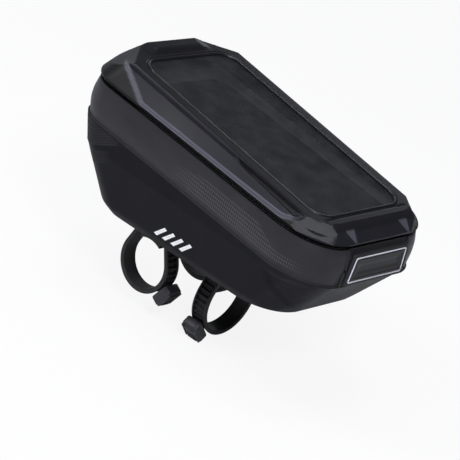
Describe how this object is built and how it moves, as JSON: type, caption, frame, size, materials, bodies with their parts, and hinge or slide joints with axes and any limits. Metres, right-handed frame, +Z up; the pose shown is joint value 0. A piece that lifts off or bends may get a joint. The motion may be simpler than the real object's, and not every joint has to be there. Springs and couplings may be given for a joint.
{
  "type": "bike bag",
  "caption": "Wedge-shaped handlebar bag with a zipped hard lid, a clear phone window, a base plate and rubber straps for handlebar and stem.",
  "frame": {"origin": "middle of the base plate's underside, where the bag sits on handlebar and stem", "axes": "+Z up out of the base plate into the bag, +Y forward to the bag's tall end, +X to the rider's right"},
  "size_m": [0.1211, 0.2005, 0.1528],
  "materials": {
    "shell": "smooth coated moulded foam",
    "band": "coated weave",
    "label": "moulded patch",
    "piping": "silver edge",
    "tape": "woven tape",
    "coil": "nylon coil",
    "slider": "black",
    "pull": "moulded",
    "lid": "satin moulded shell",
    "film": "clear film",
    "bezel": "satin",
    "liner": "lining",
    "pad": "foam pad",
    "elastic": "elastic webbing",
    "base": "moulded",
    "rivet": "black",
    "cradle": "matt",
    "strap": "matt, toothed",
    "buckle": "satin"
  },
  "bodies": {
    "bag": {"lower_shell": "shell", "rain_flap_band": "band", "rear_panel": "band", "label_patch": "label", "label_piping": "piping", "zip_tape_lower": "tape", "zip_coil_lower": "coil", "base_plate": "base", "base_rivet_1": "rivet", "base_rivet_2": "rivet", "base_rivet_3": "rivet", "base_rivet_4": "rivet", "bar_cradle_left": "cradle", "bar_cradle_right": "cradle", "stem_cradle": "cradle", "bar_strap_left": "strap", "bar_strap_right": "strap", "stem_strap": "strap", "bar_buckle_left": "buckle", "bar_buckle_right": "buckle", "stem_buckle": "buckle"},
    "lid": {"lid_shell": "lid", "window_film": "film", "window_bezel": "bezel", "lid_liner": "liner", "phone_pad": "pad", "pad_band_front": "elastic", "pad_band_rear": "elastic", "zip_tape_upper": "tape", "zip_coil_upper": "coil"},
    "front_slider": {"slider_front": "slider"},
    "front_pull": {"pull_front": "pull"},
    "rear_slider": {"slider_rear": "slider"},
    "rear_pull": {"pull_rear": "pull"}
  },
  "joints": [
    {"name": "lid_hinge", "type": "hinge", "parent": "bag", "child": "lid", "pos_m": [0, -0.111, 0.0606], "axis": [1, 0, 0], "range_deg": [0, 95]},
    {"name": "front_slider_slide", "type": "slide", "parent": "bag", "child": "front_slider", "axis": [0, 0.9936, 0.1129], "range_m": [0, 0.04]},
    {"name": "front_pull_hinge", "type": "hinge", "parent": "front_slider", "child": "front_pull", "pos_m": [0.0615, 0.00876, 0.07309], "axis": [0, -0.1129, 0.9936], "range_deg": [-100, 0]},
    {"name": "rear_slider_slide", "type": "slide", "parent": "bag", "child": "rear_slider", "axis": [0, 0.9936, 0.1129], "range_m": [-0.07, 0]},
    {"name": "rear_pull_hinge", "type": "hinge", "parent": "rear_slider", "child": "rear_pull", "pos_m": [0.0615, -0.00184, 0.07188], "axis": [0, -0.1129, 0.9936], "range_deg": [0, 100]}
  ]
}
